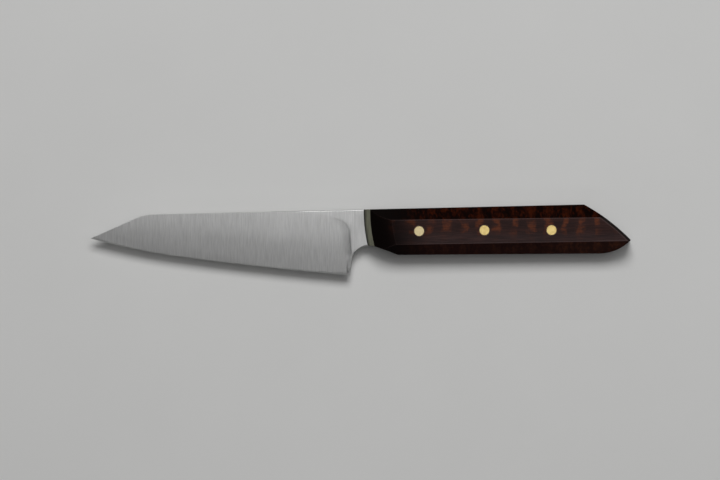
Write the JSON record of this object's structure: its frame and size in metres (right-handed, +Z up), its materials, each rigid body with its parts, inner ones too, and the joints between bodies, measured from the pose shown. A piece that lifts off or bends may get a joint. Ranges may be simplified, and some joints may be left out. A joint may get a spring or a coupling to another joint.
{
  "type": "paring knife",
  "caption": "Kitchen paring knife with a clipped point, rounded finger choil, full tang, faceted wooden scales and flush brass pins, lying on its side.",
  "frame": {"origin": "on the flat of the right scale that the knife lies on, midway up that flat, under the middle of the grip", "axes": "+X along the knife from the point to the butt, +Y from the cutting edge to the spine, +Z up, out of the left side"},
  "size_m": [0.2185, 0.0287, 0.015],
  "materials": {
    "blade_steel": "satin, rubbed across the blade from spine to edge",
    "liner_fibre": "matt vulcanised fibre sheet",
    "spacer_laminate": "fine-sanded glass laminate, olive grey",
    "scale_wood": "oiled and buffed dark figured hardwood",
    "pin_brass": "sanded flush"
  },
  "bodies": {
    "root": {"blade": "blade_steel", "liner_left": "liner_fibre", "liner_right": "liner_fibre", "front_spacer_left": "spacer_laminate", "front_spacer_right": "spacer_laminate", "scale_left": "scale_wood", "scale_right": "scale_wood", "pin_front": "pin_brass", "pin_middle": "pin_brass", "pin_rear": "pin_brass"}
  },
  "joints": []
}
